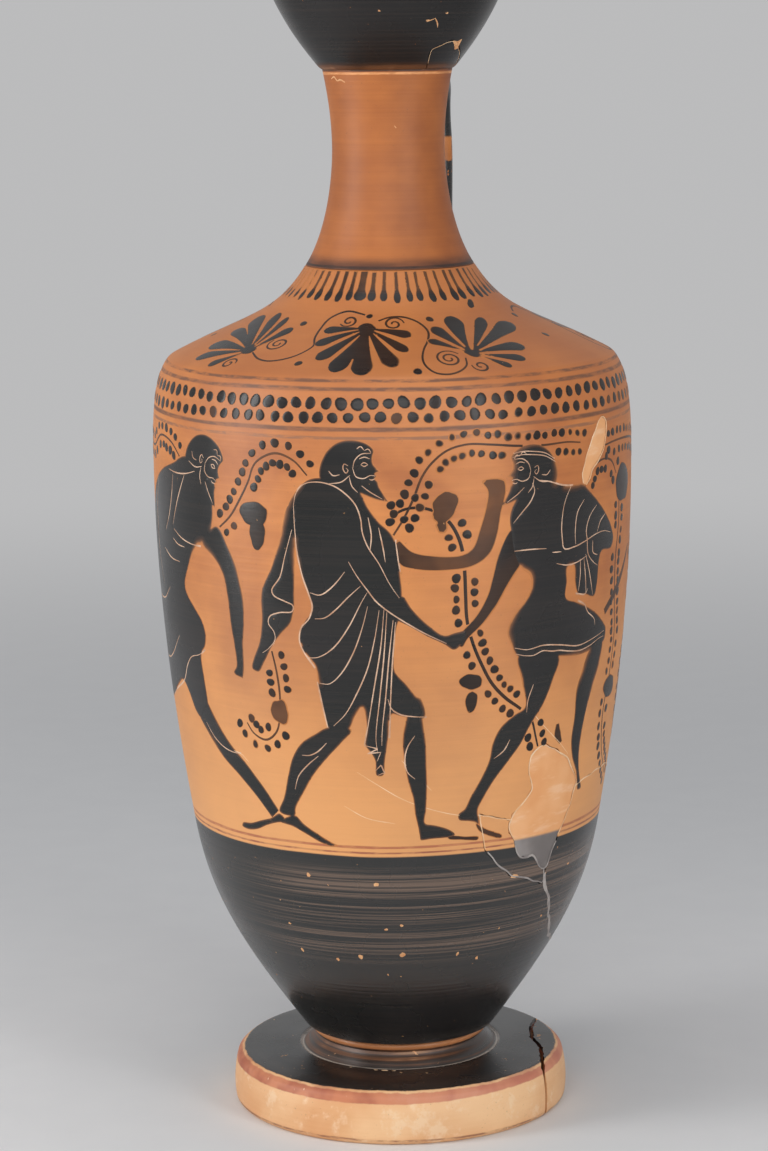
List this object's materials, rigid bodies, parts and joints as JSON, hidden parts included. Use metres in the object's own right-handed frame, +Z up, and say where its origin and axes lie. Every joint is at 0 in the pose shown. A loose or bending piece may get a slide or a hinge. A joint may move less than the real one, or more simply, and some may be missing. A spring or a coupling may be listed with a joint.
{
  "type": "black-figure oil vase",
  "caption": "Tall shoulder lekythos with a cup-shaped mouth, narrow neck, one strap handle and a disc foot, painted in black figure and mended.",
  "frame": {"origin": "centre of the foot's resting face", "axes": "+Z up along the vessel's axis, -Y towards the front of the painted wall, +Y towards the handle"},
  "size_m": [0.1238, 0.1238, 0.308],
  "materials": {
    "clay": "burnished orange clay, unpainted, with brown wash lines and warm mottling",
    "foot_clay": "pale orange clay edge with a worn red line, black top",
    "black_gloss": "black slip with a soft gloss, brush streaks and small chips",
    "incision": "pale clay bared by a scratched line",
    "dilute_slip": "thin brown slip",
    "plaster": "matt toned plaster fill"
  },
  "bodies": {
    "root": {"foot": "foot_clay", "foot_sherd": "foot_clay", "foot_fillet": "clay", "body": "clay", "belly_sherd": "black_gloss", "side_sherd": "black_gloss", "wall_fill": "plaster", "sliver_fill": "plaster", "neck": "clay", "mouth": "black_gloss", "mouth_sherd": "black_gloss", "handle": "black_gloss"}
  },
  "joints": []
}
